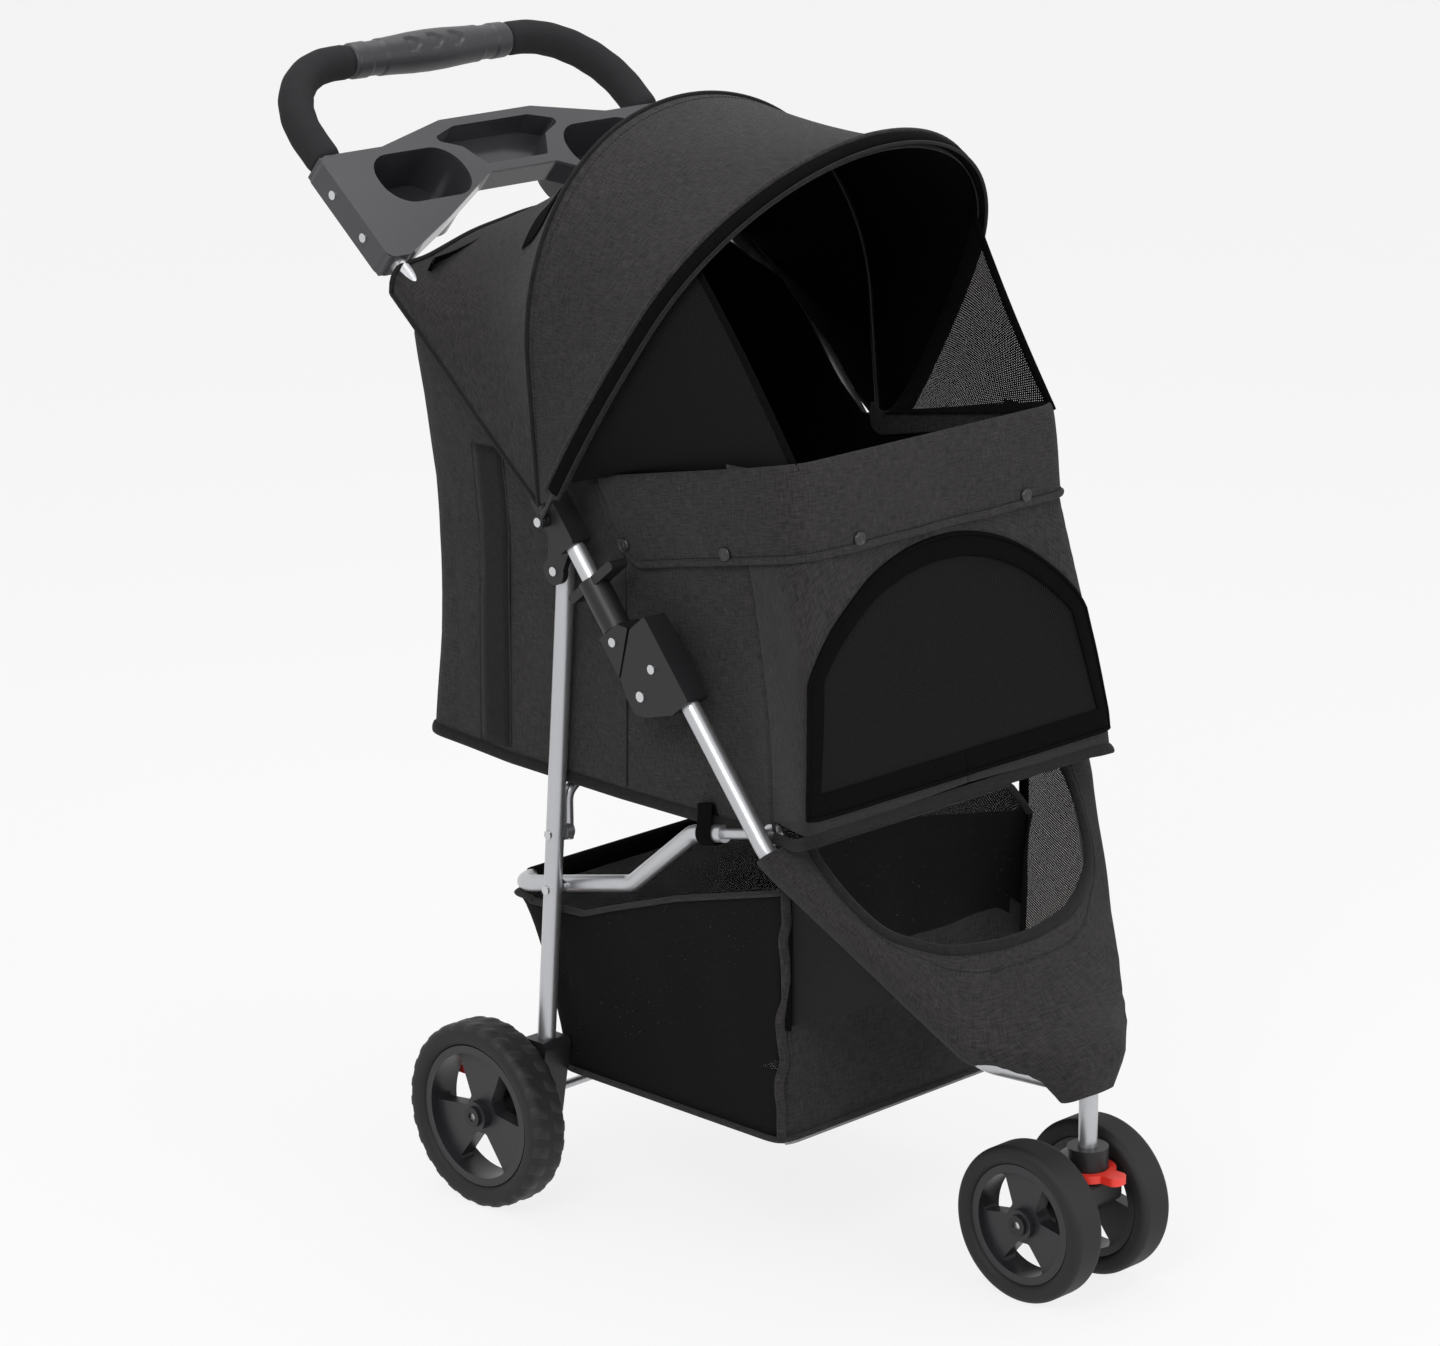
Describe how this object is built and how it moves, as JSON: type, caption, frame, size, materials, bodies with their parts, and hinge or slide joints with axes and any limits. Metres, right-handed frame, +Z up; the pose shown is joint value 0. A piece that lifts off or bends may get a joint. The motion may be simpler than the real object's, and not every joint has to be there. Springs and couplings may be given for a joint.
{
  "type": "folding pet stroller",
  "caption": "Folding pet stroller with a soft cabin, hood, cup tray, basket, braked rear wheels and a swivelling front caster.",
  "frame": {"origin": "on the floor under the middle of the stroller's overall box", "axes": "+Z up, +Y towards the push handle, -Y the front, +X the pusher's left"},
  "size_m": [0.46, 0.8565, 0.9823],
  "materials": {
    "silver_tube": "satin",
    "steel": "bright",
    "black_plastic": "satin",
    "rim_plastic": "satin",
    "tyre": "matt",
    "tray_plastic": "satin",
    "foam": "matt",
    "red_plastic": "gloss",
    "charcoal_fabric": "woven",
    "floor_board": "woven",
    "black_mesh": "mesh"
  },
  "bodies": {
    "rear_frame": {"rear_leg_left": "silver_tube", "rear_leg_right": "silver_tube", "wheel_mount_left": "black_plastic", "wheel_mount_right": "black_plastic", "rear_axle": "steel", "rear_axle_caps": "black_plastic", "pedal_pins": "steel", "cabin_brace": "silver_tube", "brace_rivets": "steel", "rail_pivot_pins": "steel"},
    "upper_frame": {"handle_tube": "silver_tube", "foam_grip_left": "foam", "foam_grip_right": "foam", "handle_grip": "tray_plastic", "tray": "tray_plastic", "hinge_tongue_left": "black_plastic", "hinge_tongue_right": "black_plastic", "leg_bracket_left": "black_plastic", "leg_bracket_right": "black_plastic", "leg_pivot_pins": "steel", "frame_rivets": "steel", "cabin_walls": "charcoal_fabric", "cabin_floor": "floor_board", "door_mesh": "black_mesh", "front_flap": "charcoal_fabric", "hood": "charcoal_fabric", "hood_gussets": "black_mesh"},
    "front_frame": {"front_tube_left": "silver_tube", "front_tube_right": "silver_tube", "hinge_housing_left": "black_plastic", "hinge_housing_right": "black_plastic", "hinge_pins": "steel", "housing_rivets": "steel", "rail_lugs": "black_plastic", "nose_block": "black_plastic", "steering_stem": "silver_tube", "stem_collar": "black_plastic", "apron": "charcoal_fabric"},
    "basket_rail": {"basket_rail": "silver_tube", "rail_loops": "black_mesh", "basket": "black_mesh"},
    "caster": {"caster_fork": "black_plastic", "kingpin": "steel", "front_axle": "steel", "front_axle_caps": "black_plastic"},
    "swivel_lock": {"swivel_lock": "red_plastic"},
    "front_wheel_left": {"front_left_tyre": "tyre", "front_left_rim": "rim_plastic"},
    "front_wheel_right": {"front_right_tyre": "tyre", "front_right_rim": "rim_plastic"},
    "rear_wheel_left": {"rear_left_tyre": "tyre", "rear_left_rim": "rim_plastic"},
    "rear_wheel_right": {"rear_right_tyre": "tyre", "rear_right_rim": "rim_plastic"},
    "latch_left": {"latch_collar_left": "black_plastic"},
    "latch_right": {"latch_collar_right": "black_plastic"},
    "pedal_left": {"brake_pedal_left": "red_plastic"},
    "pedal_right": {"brake_pedal_right": "red_plastic"},
    "hood_front": {"hood_bow_front": "steel"},
    "hood_rear": {"hood_bow_rear": "steel"}
  },
  "joints": [
    {"name": "fold", "type": "hinge", "parent": "rear_frame", "child": "upper_frame", "pos_m": [0, 0.05398, 0.57942], "axis": [-1, 0, 0], "range_deg": [0, 90], "deforming": ["cabin_walls", "cabin_floor", "door_mesh", "front_flap", "hood", "hood_gussets", "apron", "basket", "rail_loops"]},
    {"name": "front_fold", "type": "hinge", "parent": "upper_frame", "child": "front_frame", "pos_m": [0, -0.06677, 0.49706], "axis": [1, 0, 0], "range_deg": [0, 132.9]},
    {"name": "rail_fold", "type": "hinge", "parent": "rear_frame", "child": "basket_rail", "pos_m": [0, 0.07603, 0.29026], "axis": [-1, 0, 0], "range_deg": [0, 42.3]},
    {"name": "hood_fold", "type": "hinge", "parent": "upper_frame", "child": "hood_rear", "pos_m": [0, 0.045, 0.628], "axis": [-1, 0, 0], "range_deg": [0, 30], "deforming": ["hood", "hood_gussets"]},
    {"name": "hood_front_fold", "type": "hinge", "parent": "hood_rear", "child": "hood_front", "pos_m": [0, 0.045, 0.628], "axis": [-1, 0, 0], "range_deg": [0, 36], "deforming": ["hood", "hood_gussets"]},
    {"name": "caster_swivel", "type": "hinge", "parent": "front_frame", "child": "caster", "pos_m": [0, -0.385, 0.11], "axis": [0, 0, 1], "continuous": true},
    {"name": "swivel_lock_slide", "type": "slide", "parent": "caster", "child": "swivel_lock", "axis": [0, 0, 1], "range_m": [0, 0.008]},
    {"name": "front_left_spin", "type": "hinge", "parent": "caster", "child": "front_wheel_left", "pos_m": [0.0434, -0.3593, 0.068], "axis": [1, 0, 0], "continuous": true},
    {"name": "rear_left_spin", "type": "hinge", "parent": "rear_frame", "child": "rear_wheel_left", "pos_m": [0.211, 0.1235, 0.0825], "axis": [1, 0, 0], "continuous": true},
    {"name": "latch_left_slide", "type": "slide", "parent": "upper_frame", "child": "latch_left", "axis": [0, 0.6293, 0.7771], "range_m": [0, 0.018]},
    {"name": "brake_left_press", "type": "hinge", "parent": "rear_frame", "child": "pedal_left", "pos_m": [0.173, 0.15, 0.1], "axis": [-1, 0, 0], "range_deg": [0, 18]},
    {"name": "front_right_spin", "type": "hinge", "parent": "caster", "child": "front_wheel_right", "pos_m": [-0.0434, -0.3593, 0.068], "axis": [1, 0, 0], "continuous": true},
    {"name": "rear_right_spin", "type": "hinge", "parent": "rear_frame", "child": "rear_wheel_right", "pos_m": [-0.211, 0.1235, 0.0825], "axis": [1, 0, 0], "continuous": true},
    {"name": "latch_right_slide", "type": "slide", "parent": "upper_frame", "child": "latch_right", "axis": [0, 0.6293, 0.7771], "range_m": [0, 0.018]},
    {"name": "brake_right_press", "type": "hinge", "parent": "rear_frame", "child": "pedal_right", "pos_m": [-0.173, 0.15, 0.1], "axis": [-1, 0, 0], "range_deg": [0, 18]}
  ],
  "couplings": [
    {"joint": "front_fold", "follows": "fold", "ratio": 1.4655},
    {"joint": "rail_fold", "follows": "fold", "ratio": 0.459},
    {"joint": "hood_front_fold", "follows": "hood_fold", "ratio": 1.16}
  ]
}
